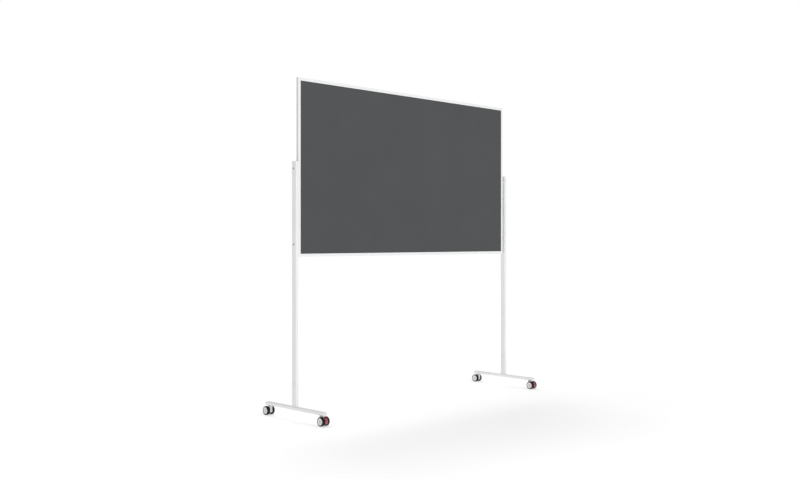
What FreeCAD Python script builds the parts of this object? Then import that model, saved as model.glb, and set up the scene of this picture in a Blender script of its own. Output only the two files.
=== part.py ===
"""Mobile pinboard: a felt board in a rail frame, carried between two uprights on castored feet.

All sizes are in millimetres. The origin lies on the floor below the middle of the board, +X runs along
the board, the front of the board faces -Y and +Z is up.
"""
import FreeCAD, Part

import math
import os
import re

import PartDesign
import Sketcher
import Spreadsheet

# Driving dimensions, one cell of the sheet each
SIZES = {
    # Board: outer size, height of its lower edge, and how far it sits behind the uprights' middle plane
    "board_width": 1800,
    "board_height": 1003,
    "board_bottom": 908,
    "board_set_back": 2.5,
    # Frame rail: an outer chamber for the corner keys and an open channel for the panel
    "rail_face": 17,
    "rail_depth": 17,
    "rail_wall": 1.5,
    "rail_chamber": 6.5,
    "rail_web": 1.2,
    "rail_edge_radius": 1,
    "panel_clearance": 0.3,
    "key_clearance": 0.3,
    "key_leg": 45,
    # Panel: pinning core with a felt on each face
    "core_thickness": 9.4,
    "felt_thickness": 2,
    # Board fixings
    "board_screw_inset": 69,
    "board_screw_spacing": 423,
    "nut_block_length": 24,
    "spacer_length": 7,
    "spacer_radius": 6,
    "screw_radius": 2.5,
    "screw_hole_clearance": 0.3,
    "thread_clearance": 0.05,
    "screw_head_radius": 4.75,
    "screw_head_height": 2.7,
    "screw_head_rounding": 1.9,
    "screw_socket_radius": 1.7,
    "screw_socket_depth": 1.5,
    # Uprights
    "upright_width": 20,
    "upright_depth": 35,
    "upright_wall": 1.5,
    "tube_corner_radius": 2,
    "upright_head": 41,
    # Plastic caps in the tube ends
    "cap_clearance": 0.3,
    "cap_plug_wall": 1.5,
    "cap_edge_bevel": 0.8,
    "upright_cap_flange": 2.5,
    "upright_cap_plug": 14,
    "foot_cap_flange": 2,
    "foot_cap_plug": 10,
    # Feet and the sockets welded on them
    "foot_width": 30,
    "foot_height": 16,
    "foot_length": 508,
    "foot_wall": 1.5,
    "socket_height": 151,
    "socket_wall": 2,
    "socket_clearance": 0.3,
    "socket_bolt_drop": 21,
    "cap_nut_height": 3,
    "cap_nut_rounding": 2,
    "cap_nut_roof": 1,
    "bolt_end_gap": 0.6,
    # Castor stem and the threaded block that holds it in the foot
    "stem_inset": 27,
    "stem_radius": 4,
    "stem_flange_radius": 10,
    "stem_flange_height": 1.5,
    "stem_pin_length": 27,
    "stem_ring_radius": 4.7,
    "stem_ring_height": 1.6,
    "stem_ring_drop": 21,
    "stem_thread_length": 12,
    "insert_length": 20,
    "insert_headroom": 0.6,
    # Castor body
    "swivel_gap": 0.3,
    "swivel_clearance": 0.05,
    "ring_groove_clearance": 0.3,
    "neck_radius": 12,
    "neck_height": 4,
    "neck_edge_bevel": 1,
    "wheel_headroom": 1.2,
    "castor_trail": 15,
    "web_width": 15.4,
    "web_radius": 11,
    "column_back": 9,
    "column_front": 8,
    "heel_height": 17,
    "brake_web_width": 8,
    "brake_recess_back": 8,
    # Wheels
    "wheel_radius": 25,
    "wheel_width": 17.5,
    "wheel_side_gap": 0.3,
    "tyre_thickness": 5.5,
    "tyre_shoulder": 2.5,
    "axle_radius": 3,
    "axle_clearance": 0.05,
    "axle_end_gap": 0.3,
    "axle_chamfer": 0.5,
    "hub_set_in": 0.6,
    "hub_rim_thickness": 2.4,
    "hub_boss_radius": 6,
    "hub_disc_thickness": 1.8,
    "hub_dish_depth": 1.2,
    "hub_dish_slope": 0.8,
    "hub_lip": 1.8,
    "hub_cap_radius": 7.6,
    "hub_pip_radius": 3,
    "hub_pip_depth": 0.6,
    "hub_rib_thickness": 1.6,
    "hub_rib_set_in": 2,
    "hub_rib_count": 6,
    # Brake pedal, which turns on the axle between the wheels
    "pedal_width": 18,
    "pedal_tyre_gap": 1,
    "pedal_thickness": 1.8,
    "pedal_low_angle": 28,
    "pedal_high_angle": 48,
    "pedal_arm_thickness": 3,
    "pedal_arm_gap": 0.2,
    "pedal_arm_width": 8,
    "pedal_arm_angle": 10,
    "pedal_hub_radius": 7,
    "pedal_rib_height": 0.7,
    "pedal_rib_angle": 3,
    "pedal_rib_pitch_angle": 8,
    "pedal_rib_count": 4,
    "pedal_lip_height": 2.7,
    "pedal_lip_angle": 5,
    # How far a cut runs past the face that it opens
    "cut_overrun": 1,
}

document = FreeCAD.newDocument("mobile_pinboard")
sheet = document.addObject("Spreadsheet::Sheet", "sizes")
for row, (name, number) in enumerate(SIZES.items(), 1):
    sheet.set(f"A{row}", name)
    sheet.set(f"B{row}", str(number))
    sheet.setAlias(f"B{row}", name)
document.recompute()

# Places and sizes that follow from the driving dimensions, as expressions in their names
UPRIGHT_X = "(board_width / 2 + spacer_length + upright_width / 2)"
BOARD_TOP = "(board_bottom + board_height)"
BOARD_MIDDLE = "(board_bottom + board_height / 2)"
LOW_SCREW = "(board_bottom + board_screw_inset)"
HIGH_SCREW = f"({LOW_SCREW} + board_screw_spacing)"
UPRIGHT_TOP = f"({HIGH_SCREW} + upright_head)"
SCREW_HOLE = "(screw_radius + screw_hole_clearance)"
CHANNEL_FLOOR = "(rail_wall + rail_chamber + rail_web)"
PANEL_WIDTH = f"(board_width - 2 * ({CHANNEL_FLOOR} + panel_clearance))"
PANEL_HEIGHT = f"(board_height - 2 * ({CHANNEL_FLOOR} + panel_clearance))"
RAIL_INSIDE = "(rail_depth - 2 * rail_wall)"
STEM_Y = "(foot_length / 2 - stem_inset)"
AXLE_HEIGHT = "wheel_radius"
NECK_BOTTOM = "(2 * wheel_radius + wheel_headroom)"
NECK_TOP = f"({NECK_BOTTOM} + neck_height)"
FLANGE_BOTTOM = f"({NECK_TOP} + swivel_gap)"
FOOT_BOTTOM = f"({FLANGE_BOTTOM} + stem_flange_height)"
FOOT_TOP = f"({FOOT_BOTTOM} + foot_height)"
SOCKET_BOLT = f"({FOOT_TOP} + socket_height - socket_bolt_drop)"
WHEEL_INNER_FACE = "(web_width / 2 + wheel_side_gap)"
HUB_RADIUS = "(wheel_radius - tyre_thickness)"
HUB_FACE = "(wheel_width - hub_set_in)"
HUB_DISH = f"({HUB_FACE} - hub_dish_depth)"
HUB_DISC_BACK = f"({HUB_DISH} - hub_disc_thickness)"
PEDAL_INSIDE = "(wheel_radius + pedal_tyre_gap)"
PEDAL_OUTSIDE = f"({PEDAL_INSIDE} + pedal_thickness)"

SIDES = (("left", -1), ("right", 1))
ENDS = (("front", -1), ("rear", 1))
X_AXIS = FreeCAD.Vector(1, 0, 0)
Y_AXIS = FreeCAD.Vector(0, 1, 0)
Z_AXIS = FreeCAD.Vector(0, 0, 1)
HORIZONTAL_AXIS_INDEX = -1
VERTICAL_AXIS_INDEX = -2
START_INDEX = 1
END_INDEX = 2
CENTRE_INDEX = 3
SAME_WITHIN = 1e-6
kept = []


def in_sheet(text):
    """Rewrite an expression in plain size names so that it reads the sheet."""
    return re.sub("[a-z_]+", lambda word: "sizes." + word[0] if word[0] in SIZES else word[0], text)


def bind(thing, quantity, text):
    thing.setExpression(quantity, in_sheet(text))


def keep(thing, label):
    """Name a finished sub-part; the label is also its file's name."""
    thing.Label = label
    kept.append(thing)
    return thing


def place(thing, x="0", y="0", z="0", axis=Z_AXIS, angle=0):
    """Turn a piece by a fixed angle and bind its place to the sheet."""
    thing.Placement = FreeCAD.Placement(FreeCAD.Vector(), FreeCAD.Rotation(axis, angle))
    bind(thing, "Placement.Base.x", x)
    bind(thing, "Placement.Base.y", y)
    bind(thing, "Placement.Base.z", z)
    return thing


def new_body(name):
    return document.addObject("PartDesign::Body", name)


def new_sketch(body, role, offset="0", turn=None):
    """Start a sketch on one of the body's origin planes, moved along its normal or turned."""
    sketch = body.newObject("Sketcher::SketchObject", f"{body.Name}_sketch")
    plane = next(item for item in body.Origin.OriginFeatures if item.Role == role)
    sketch.AttachmentSupport = (plane, [""])
    sketch.MapMode = "FlatFace"
    bind(sketch, "AttachmentOffset.Base.z", offset)
    if turn:
        axis, text = turn
        sketch.AttachmentOffset = FreeCAD.Placement(FreeCAD.Vector(), FreeCAD.Rotation(axis, 1))
        bind(sketch, "AttachmentOffset.Rotation.Angle", text)
    return sketch


def hold(sketch, geometry, point, across, up):
    """Hold a sketch point at a place given by two expressions."""
    origin = (HORIZONTAL_AXIS_INDEX, START_INDEX)
    for kind, axis, text in (
        ("DistanceX", VERTICAL_AXIS_INDEX, across),
        ("DistanceY", HORIZONTAL_AXIS_INDEX, up),
    ):
        if text == "0":
            sketch.addConstraint(Sketcher.Constraint("PointOnObject", geometry, point, axis))
        else:
            index = sketch.addConstraint(Sketcher.Constraint(kind, *origin, geometry, point, 1.0))
            bind(sketch, f"Constraints[{index}]", text)


def join(sketch, line, following):
    """Let one line end where the next starts."""
    ends = (line, END_INDEX, following, START_INDEX)
    sketch.addConstraint(Sketcher.Constraint("Coincident", *ends))


def draw_outline(sketch, corners):
    """Draw a closed outline of straight lines through corners given by expressions."""
    count = len(corners)
    spots = []
    for index in range(count):
        angle = 2 * math.pi * index / count
        spots.append(FreeCAD.Vector(math.cos(angle), math.sin(angle), 0))
    lines = []
    for index in range(count):
        lines.append(sketch.addGeometry(Part.LineSegment(spots[index], spots[(index + 1) % count]), False))
    for index in range(count):
        join(sketch, lines[index], lines[(index + 1) % count])
    for line, (across, up) in zip(lines, corners):
        hold(sketch, line, START_INDEX, across, up)


def draw_rectangle(sketch, left, right, low, high):
    draw_outline(sketch, [(left, low), (right, low), (right, high), (left, high)])


def draw_centred_rectangle(sketch, width, height):
    draw_rectangle(sketch, f"-({width}) / 2", f"({width}) / 2", f"-({height}) / 2", f"({height}) / 2")


def draw_circle(sketch, across, up, radius):
    circle = sketch.addGeometry(Part.Circle(FreeCAD.Vector(), Z_AXIS, 1), False)
    hold(sketch, circle, CENTRE_INDEX, across, up)
    index = sketch.addConstraint(Sketcher.Constraint("Radius", circle, 1.0))
    bind(sketch, f"Constraints[{index}]", radius)


def add_feature(body, kind, sketch, length=None, symmetric=False, reverse=False):
    """Add a pad or pocket; without a length a pocket goes through everything."""
    feature = body.newObject(f"PartDesign::{kind}", f"{body.Name}_{kind.lower()}")
    feature.Profile = sketch
    feature.Midplane = symmetric
    feature.Reversed = reverse
    if length is None:
        feature.Type = "ThroughAll"
    else:
        bind(feature, "Length", length)
    sketch.Visibility = False
    return feature


def pad(body, sketch, length, **options):
    return add_feature(body, "Pad", sketch, length, **options)


def pocket(body, sketch, length=None, **options):
    return add_feature(body, "Pocket", sketch, length, **options)


def turn_profile(body, kind, sketch, axis, angle="360"):
    """Revolve a profile about one of its sketch's axes, adding (Revolution) or cutting (Groove)."""
    feature = body.newObject(f"PartDesign::{kind}", f"{body.Name}_{kind.lower()}")
    feature.Profile = sketch
    feature.ReferenceAxis = (sketch, [axis])
    bind(feature, "Angle", angle)
    sketch.Visibility = False
    return feature


def dress_edges(body, kind, chosen, quantity, size):
    """Fillet or chamfer the edges of the body that a test chooses."""
    document.recompute()
    solid = body.Tip
    names = [f"Edge{number}" for number, edge in enumerate(solid.Shape.Edges, 1) if chosen(edge)]
    dressing = body.newObject(f"PartDesign::{kind}", f"{body.Name}_{kind.lower()}")
    dressing.Base = (solid, names)
    bind(dressing, quantity, size)
    body.Tip = dressing
    return dressing


def round_edges(body, chosen, radius):
    return dress_edges(body, "Fillet", chosen, "Radius", radius)


def bevel_edges(body, chosen, size):
    return dress_edges(body, "Chamfer", chosen, "Size", size)


def runs_along(axis):
    """Test for a straight edge that lies along an axis of its body."""

    def chosen(edge):
        straight = isinstance(edge.Curve, Part.Line)
        return straight and abs(abs(edge.tangentAt(edge.FirstParameter).dot(axis)) - 1) < SAME_WITHIN

    return chosen


def lies_at(*names):
    """Test for an edge in the level plane at a height that is the sum of some sizes."""
    height = sum(sheet.get(name) for name in names)

    def chosen(edge):
        return max(abs(edge.BoundBox.ZMin - height), abs(edge.BoundBox.ZMax - height)) < SAME_WITHIN

    return chosen


def rounded_corner(out, up, radius):
    """Points for a turned piece's rounded edge, as two flats that run from its side to its top."""
    points = []
    for angle in (0, 45, 90):
        points.append((f"{out} - {radius} * (1 - cos({angle}))", f"{up} - {radius} * (1 - sin({angle}))"))
    return points


def group(name, pieces):
    """Gather like pieces, as separate solids, in one node."""
    compound = document.addObject("Part::Compound", name)
    compound.Links = pieces
    return keep(compound, name)


def box(name, width, depth, height):
    solid = document.addObject("Part::Box", name)
    bind(solid, "Length", width)
    bind(solid, "Width", depth)
    bind(solid, "Height", height)
    return solid


def cylinder(name, radius, length):
    solid = document.addObject("Part::Cylinder", name)
    bind(solid, "Radius", radius)
    bind(solid, "Height", length)
    return solid


def cut(name, base, tool):
    result = document.addObject("Part::Cut", name)
    result.Base = base
    result.Tool = tool
    return result


# Frame rails: mitred lengths of one aluminium section. Each is drawn lying along X with its outer edge
# at z = 0, then turned about Y into its side of the frame.
def frame_rail(name, length, screw_places=()):
    body = new_body(name)
    elevation = new_sketch(body, "XZ_Plane")
    draw_outline(
        elevation,
        [
            (f"-({length}) / 2", "0"),
            (f"({length}) / 2", "0"),
            (f"({length}) / 2 - rail_face", "-rail_face"),
            (f"rail_face - ({length}) / 2", "-rail_face"),
        ],
    )
    pad(body, elevation, "rail_depth", symmetric=True)
    along = runs_along(X_AXIS)
    at_outside = lies_at()
    round_edges(body, lambda edge: along(edge) and at_outside(edge), "rail_edge_radius")
    section = new_sketch(body, "YZ_Plane")
    inside = f"{RAIL_INSIDE} / 2"
    draw_rectangle(section, f"-{inside}", inside, "-(rail_wall + rail_chamber)", "-rail_wall")
    draw_rectangle(section, f"-{inside}", inside, "-(rail_face + cut_overrun)", f"-{CHANNEL_FLOOR}")
    pocket(body, section, symmetric=True)
    if screw_places:
        holes = new_sketch(body, "XY_Plane")
        for across in screw_places:
            draw_circle(holes, across, "0", SCREW_HOLE)
        pocket(body, holes, "rail_wall + cut_overrun")
    return keep(body, name)


SCREW_PLACES = [f"({height} - {BOARD_MIDDLE})" for height in (LOW_SCREW, HIGH_SCREW)]
place(frame_rail("frame_top", "board_width"), y="board_set_back", z=BOARD_TOP)
bottom_rail = frame_rail("frame_bottom", "board_width")
place(bottom_rail, y="board_set_back", z="board_bottom", axis=Y_AXIS, angle=180)
for side, sign in SIDES:
    rail = frame_rail(f"frame_{side}", "board_height", [f"{-sign} * {spot}" for spot in SCREW_PLACES])
    place(rail, f"{sign} * board_width / 2", "board_set_back", BOARD_MIDDLE, Y_AXIS, sign * 90)


# Corner keys: L-shaped keys pressed into the rail chambers, one in each mitre
def corner_key(name):
    body = new_body(name)
    near = "(rail_wall + key_clearance)"
    far = "(rail_wall + rail_chamber - key_clearance)"
    outline = new_sketch(body, "XZ_Plane")
    draw_outline(
        outline,
        [
            (near, f"-{near}"),
            ("key_leg", f"-{near}"),
            ("key_leg", f"-{far}"),
            (far, f"-{far}"),
            (far, "-key_leg"),
            (near, "-key_leg"),
        ],
    )
    pad(body, outline, f"{RAIL_INSIDE} - 2 * key_clearance", symmetric=True)
    return body


CORNERS = ((-1, BOARD_TOP, 0), (1, BOARD_TOP, 90), (1, "board_bottom", 180), (-1, "board_bottom", 270))
keys = []
for sign, height, angle in CORNERS:
    key = corner_key(f"corner_key_{angle}")
    place(key, f"{sign} * board_width / 2", "board_set_back", height, Y_AXIS, angle)
    keys.append(key)
group("frame_corner_keys", keys)

# Panel: the core that takes the pins, with a felt glued on each face, all held in the rails' channels
PANEL_X = f"-{PANEL_WIDTH} / 2"
PANEL_Z = f"{BOARD_MIDDLE} - {PANEL_HEIGHT} / 2"
core = keep(box("board_core", PANEL_WIDTH, "core_thickness", PANEL_HEIGHT), "board_core")
place(core, PANEL_X, "board_set_back - core_thickness / 2", PANEL_Z)
FELT_PLACES = {
    "felt_front": "board_set_back - core_thickness / 2 - felt_thickness",
    "felt_back": "board_set_back + core_thickness / 2",
}
for name, depth_place in FELT_PLACES.items():
    felt = keep(box(name, PANEL_WIDTH, "felt_thickness", PANEL_HEIGHT), name)
    place(felt, PANEL_X, depth_place, PANEL_Z)


# Screws: a turned shank and button head with a hexagon socket. The underside of the head is at z = 0.
def button_screw(name, shank):
    body = new_body(name)
    profile = new_sketch(body, "XZ_Plane")
    draw_outline(
        profile,
        [
            ("0", f"-({shank})"),
            ("screw_radius", f"-({shank})"),
            ("screw_radius", "0"),
            ("screw_head_radius", "0"),
            *rounded_corner("screw_head_radius", "screw_head_height", "screw_head_rounding"),
            ("0", "screw_head_height"),
        ],
    )
    turn_profile(body, "Revolution", profile, "V_Axis")
    socket = new_sketch(body, "XY_Plane", "screw_head_height")
    turns = [60 * corner for corner in range(6)]
    draw_outline(
        socket,
        [(f"screw_socket_radius * cos({turn})", f"screw_socket_radius * sin({turn})") for turn in turns],
    )
    pocket(body, socket, "screw_socket_depth")
    return body


# Board fixings: screws through upright, spacer and rail wall into threaded blocks in the rail chamber
SCREW_SHANK = "upright_width + spacer_length + rail_wall + rail_chamber - key_clearance"
CHAMBER_X = "(board_width / 2 - rail_wall - rail_chamber / 2)"
BLOCK_THICKNESS = "(rail_chamber - 2 * key_clearance)"
BLOCK_DEPTH = f"({RAIL_INSIDE} - 2 * key_clearance)"
screws = []
spacers = []
blocks = []
for side, sign in SIDES:
    for level, height in (("low", LOW_SCREW), ("high", HIGH_SCREW)):
        spot = f"{level}_{side}"
        screw = button_screw(f"board_screw_{spot}", SCREW_SHANK)
        outer_face = f"{sign} * ({UPRIGHT_X} + upright_width / 2)"
        screws.append(place(screw, outer_face, "board_set_back", height, Y_AXIS, sign * 90))

        ring = cylinder(f"spacer_ring_{spot}", "spacer_radius", "spacer_length")
        bore = cylinder(f"spacer_bore_{spot}", SCREW_HOLE, "spacer_length")
        spacer = cut(f"spacer_{spot}", ring, bore)
        inner_end = f"{sign} * board_width / 2"
        spacers.append(place(spacer, inner_end, "board_set_back", height, Y_AXIS, sign * 90))

        body = box(f"block_body_{spot}", BLOCK_THICKNESS, BLOCK_DEPTH, "nut_block_length")
        hole = cylinder(f"block_hole_{spot}", "screw_radius + thread_clearance", "rail_chamber")
        place(body, f"-{BLOCK_THICKNESS} / 2", f"-{BLOCK_DEPTH} / 2", "-nut_block_length / 2")
        place(hole, "-rail_chamber / 2", axis=Y_AXIS, angle=90)
        block = cut(f"nut_block_{spot}", body, hole)
        blocks.append(place(block, f"{sign} * {CHAMBER_X}", "board_set_back", height))
group("board_screws", screws)
group("board_spacers", spacers)
group("frame_nut_blocks", blocks)


# Rectangular tube standing on z = 0: the outer rectangle rounded along its edges, then hollowed
def standing_tube(name, width, depth, wall, length, corner_radius=None):
    body = new_body(name)
    outside = new_sketch(body, "XY_Plane")
    draw_centred_rectangle(outside, width, depth)
    pad(body, outside, length)
    if corner_radius:
        round_edges(body, runs_along(Z_AXIS), corner_radius)
    inside = new_sketch(body, "XY_Plane")
    draw_centred_rectangle(inside, f"{width} - 2 * {wall}", f"{depth} - 2 * {wall}")
    pocket(body, inside, symmetric=True)
    return body


# Cross holes through both side walls of a standing tube, on the board's middle plane
def drill_across(body, heights):
    holes = new_sketch(body, "YZ_Plane")
    for height in heights:
        draw_circle(holes, "board_set_back", height, SCREW_HOLE)
    pocket(body, holes, symmetric=True)


# Tube cap: a flange of the tube's own outline on z = 0, and a hollow plug below it
def tube_cap(name, width, depth, wall, flange, plug):
    body = new_body(name)
    outline = new_sketch(body, "XY_Plane")
    draw_centred_rectangle(outline, width, depth)
    pad(body, outline, flange)
    round_edges(body, runs_along(Z_AXIS), "tube_corner_radius")
    bevel_edges(body, lies_at(flange), "cap_edge_bevel")
    plug_width = f"({width} - 2 * {wall} - 2 * cap_clearance)"
    plug_depth = f"({depth} - 2 * {wall} - 2 * cap_clearance)"
    plug_outline = new_sketch(body, "XY_Plane")
    draw_centred_rectangle(plug_outline, plug_width, plug_depth)
    pad(body, plug_outline, plug, reverse=True)
    hollow = new_sketch(body, "XY_Plane")
    draw_centred_rectangle(hollow, f"{plug_width} - 2 * cap_plug_wall", f"{plug_depth} - 2 * cap_plug_wall")
    pocket(body, hollow, f"{plug} + cut_overrun")
    return body


# Uprights with their caps, and the sockets that hold them on the feet
for side, sign in SIDES:
    across = f"{sign} * {UPRIGHT_X}"
    upright_length = f"{UPRIGHT_TOP} - upright_cap_flange - {FOOT_TOP}"
    upright = standing_tube(
        f"upright_{side}",
        "upright_width",
        "upright_depth",
        "upright_wall",
        upright_length,
        "tube_corner_radius",
    )
    drill_across(upright, [f"{height} - {FOOT_TOP}" for height in (SOCKET_BOLT, LOW_SCREW, HIGH_SCREW)])
    place(keep(upright, upright.Name), across, z=FOOT_TOP)

    cap = tube_cap(
        f"upright_cap_{side}",
        "upright_width",
        "upright_depth",
        "upright_wall",
        "upright_cap_flange",
        "upright_cap_plug",
    )
    place(keep(cap, cap.Name), across, z=f"{UPRIGHT_TOP} - upright_cap_flange")

    socket_width = "(upright_width - 2 * upright_wall - 2 * socket_clearance)"
    socket_depth = "(upright_depth - 2 * upright_wall - 2 * socket_clearance)"
    name = f"foot_socket_{side}"
    socket = standing_tube(name, socket_width, socket_depth, "socket_wall", "socket_height")
    drill_across(socket, [f"{SOCKET_BOLT} - {FOOT_TOP}"])
    place(keep(socket, name), across, z=FOOT_TOP)


# Cap nut: a low dome with a blind hole, its seat at z = 0
def cap_nut(name):
    body = new_body(name)
    profile = new_sketch(body, "XZ_Plane")
    hole = "(screw_radius + thread_clearance)"
    hole_depth = "(cap_nut_height - cap_nut_roof)"
    draw_outline(
        profile,
        [
            (hole, "0"),
            ("screw_head_radius", "0"),
            *rounded_corner("screw_head_radius", "cap_nut_height", "cap_nut_rounding"),
            ("0", "cap_nut_height"),
            ("0", hole_depth),
            (hole, hole_depth),
        ],
    )
    turn_profile(body, "Revolution", profile, "V_Axis")
    return body


# Socket bolts: one through each upright and its socket, with a cap nut on the inner side
BOLT_SHANK = "upright_width + cap_nut_height - cap_nut_roof - bolt_end_gap"
bolts = []
nuts = []
for side, sign in SIDES:
    bolt = button_screw(f"socket_bolt_{side}", BOLT_SHANK)
    outer_face = f"{sign} * ({UPRIGHT_X} + upright_width / 2)"
    inner_face = f"{sign} * ({UPRIGHT_X} - upright_width / 2)"
    bolts.append(place(bolt, outer_face, "board_set_back", SOCKET_BOLT, Y_AXIS, sign * 90))
    nut = cap_nut(f"socket_nut_{side}")
    nuts.append(place(nut, inner_face, "board_set_back", SOCKET_BOLT, Y_AXIS, -sign * 90))
group("socket_bolts", bolts)
group("socket_nuts", nuts)


# Feet: flat rectangular tubes lying along Y, with a hole in the underside for each castor stem
def foot_tube(name):
    body = new_body(name)
    outside = new_sketch(body, "XZ_Plane")
    draw_rectangle(outside, "-foot_width / 2", "foot_width / 2", "0", "foot_height")
    pad(body, outside, "foot_length - 2 * foot_cap_flange", symmetric=True)
    round_edges(body, runs_along(Y_AXIS), "tube_corner_radius")
    inside = new_sketch(body, "XZ_Plane")
    inner_x = "(foot_width / 2 - foot_wall)"
    draw_rectangle(inside, f"-{inner_x}", inner_x, "foot_wall", "foot_height - foot_wall")
    pocket(body, inside, symmetric=True)
    holes = new_sketch(body, "XY_Plane")
    for _, end_sign in ENDS:
        draw_circle(holes, "0", f"{end_sign} * {STEM_Y}", "stem_radius + screw_hole_clearance")
    pocket(body, holes, "foot_wall + cut_overrun", reverse=True)
    return body


inserts = []
INSERT_WIDTH = "(foot_width - 2 * foot_wall - 2 * cap_clearance)"
INSERT_HEIGHT = "(foot_height - 2 * foot_wall - insert_headroom)"
for side, sign in SIDES:
    across = f"{sign} * {UPRIGHT_X}"
    foot = foot_tube(f"foot_{side}")
    place(keep(foot, foot.Name), across, z=FOOT_BOTTOM)
    for end, end_sign in ENDS:
        cap = tube_cap(
            f"foot_cap_{end}_{side}",
            "foot_width",
            "foot_height",
            "foot_wall",
            "foot_cap_flange",
            "foot_cap_plug",
        )
        along = f"{end_sign} * (foot_length / 2 - foot_cap_flange)"
        middle = f"{FOOT_BOTTOM} + foot_height / 2"
        place(keep(cap, cap.Name), across, along, middle, X_AXIS, -end_sign * 90)

        spot = f"{end}_{side}"
        stem_y = f"{end_sign} * {STEM_Y}"
        body = box(f"insert_body_{spot}", INSERT_WIDTH, "insert_length", INSERT_HEIGHT)
        hole = cylinder(f"insert_hole_{spot}", "stem_radius + thread_clearance", "foot_height")
        place(body, f"-{INSERT_WIDTH} / 2", "-insert_length / 2")
        insert = cut(f"castor_insert_{spot}", body, hole)
        inserts.append(place(insert, across, stem_y, f"{FOOT_BOTTOM} + foot_wall"))
group("castor_inserts", inserts)


# Castor stem, drawn at its true height: thread in the foot, flange under it, and a swivel pin below
# with the ring that keeps the castor body on
def castor_stem(name):
    body = new_body(name)
    pin_bottom = f"({FLANGE_BOTTOM} - stem_pin_length)"
    ring_bottom = f"({FLANGE_BOTTOM} - stem_ring_drop)"
    thread_top = f"({FOOT_BOTTOM} + stem_thread_length)"
    profile = new_sketch(body, "XZ_Plane")
    draw_outline(
        profile,
        [
            ("0", pin_bottom),
            ("stem_radius", pin_bottom),
            ("stem_radius", ring_bottom),
            ("stem_ring_radius", ring_bottom),
            ("stem_ring_radius", f"{ring_bottom} + stem_ring_height"),
            ("stem_radius", f"{ring_bottom} + stem_ring_height"),
            ("stem_radius", FLANGE_BOTTOM),
            ("stem_flange_radius", FLANGE_BOTTOM),
            ("stem_flange_radius", FOOT_BOTTOM),
            ("stem_radius", FOOT_BOTTOM),
            ("stem_radius", thread_top),
            ("0", thread_top),
        ],
    )
    turn_profile(body, "Revolution", profile, "V_Axis")
    return body


# Castor body, drawn with the stem on the Z axis and the wheels trailing towards -Y. Its web is one
# outline: a round end about the axle, joined by tangents to the column under the neck. The arc's angles
# are where the sketch starts from before its tangents settle them.
WEB_ARC_GUESS = (math.radians(141), math.radians(277))


def draw_web(sketch):
    axle = FreeCAD.Vector(-sheet.get("castor_trail"), sheet.get("wheel_radius"), 0)
    radius = sheet.get("web_radius")
    top = 2 * sheet.get("wheel_radius") + sheet.get("wheel_headroom")
    front_top = FreeCAD.Vector(-sheet.get("column_front"), top, 0)
    back_top = FreeCAD.Vector(sheet.get("column_back"), top, 0)
    heel = FreeCAD.Vector(sheet.get("column_back"), sheet.get("heel_height"), 0)
    arc = Part.ArcOfCircle(Part.Circle(axle, Z_AXIS, radius), *WEB_ARC_GUESS)
    upper, lower = arc.StartPoint, arc.EndPoint

    spine = [(upper, front_top), (front_top, back_top), (back_top, heel), (heel, lower)]
    lines = [sketch.addGeometry(Part.LineSegment(*ends), False) for ends in spine]
    round_end = sketch.addGeometry(arc, False)
    for line, following in zip(lines, lines[1:]):
        join(sketch, line, following)
    sketch.addConstraint(Sketcher.Constraint("Tangent", lines[0], START_INDEX, round_end, START_INDEX))
    sketch.addConstraint(Sketcher.Constraint("Tangent", lines[-1], END_INDEX, round_end, END_INDEX))
    hold(sketch, round_end, CENTRE_INDEX, "-castor_trail", AXLE_HEIGHT)
    hold(sketch, lines[1], START_INDEX, "-column_front", NECK_BOTTOM)
    hold(sketch, lines[2], START_INDEX, "column_back", NECK_BOTTOM)
    hold(sketch, lines[3], START_INDEX, "column_back", "heel_height")
    index = sketch.addConstraint(Sketcher.Constraint("Radius", round_end, radius))
    bind(sketch, f"Constraints[{index}]", "web_radius")


def castor_body(name, has_brake):
    body = new_body(name)
    web = new_sketch(body, "YZ_Plane")
    draw_web(web)
    pad(body, web, "web_width", symmetric=True)
    neck = new_sketch(body, "XY_Plane", NECK_BOTTOM)
    draw_circle(neck, "0", "0", "neck_radius")
    pad(body, neck, "neck_height")
    neck_top = lies_at("wheel_radius", "wheel_radius", "wheel_headroom", "neck_height")
    bevel_edges(body, neck_top, "neck_edge_bevel")

    # Stem bore, blind, with a groove for the stem's ring
    bore = "(stem_radius + swivel_clearance)"
    groove = "(stem_ring_radius + ring_groove_clearance)"
    ring_bottom = f"({FLANGE_BOTTOM} - stem_ring_drop - ring_groove_clearance)"
    ring_top = f"({ring_bottom} + stem_ring_height + 2 * ring_groove_clearance)"
    bore_bottom = f"({FLANGE_BOTTOM} - stem_pin_length - swivel_gap)"
    stem_bore = new_sketch(body, "YZ_Plane")
    draw_outline(
        stem_bore,
        [
            ("0", bore_bottom),
            (bore, bore_bottom),
            (bore, ring_bottom),
            (groove, ring_bottom),
            (groove, ring_top),
            (bore, ring_top),
            (bore, f"{NECK_TOP} + cut_overrun"),
            ("0", f"{NECK_TOP} + cut_overrun"),
        ],
    )
    turn_profile(body, "Groove", stem_bore, "V_Axis")
    axle_hole = new_sketch(body, "YZ_Plane")
    draw_circle(axle_hole, "-castor_trail", AXLE_HEIGHT, "axle_radius")
    pocket(body, axle_hole, symmetric=True)

    # On a braked castor the web is thin round the axle, which leaves room for the pedal's arms
    if has_brake:
        for offset, outwards in (("brake_web_width / 2", True), ("-brake_web_width / 2", False)):
            recess = new_sketch(body, "YZ_Plane", offset)
            front = "-(castor_trail + web_radius + cut_overrun)"
            back = "brake_recess_back - castor_trail"
            draw_rectangle(recess, front, back, "0", NECK_BOTTOM)
            pocket(body, recess, "web_width", reverse=outwards)
    return body


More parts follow.
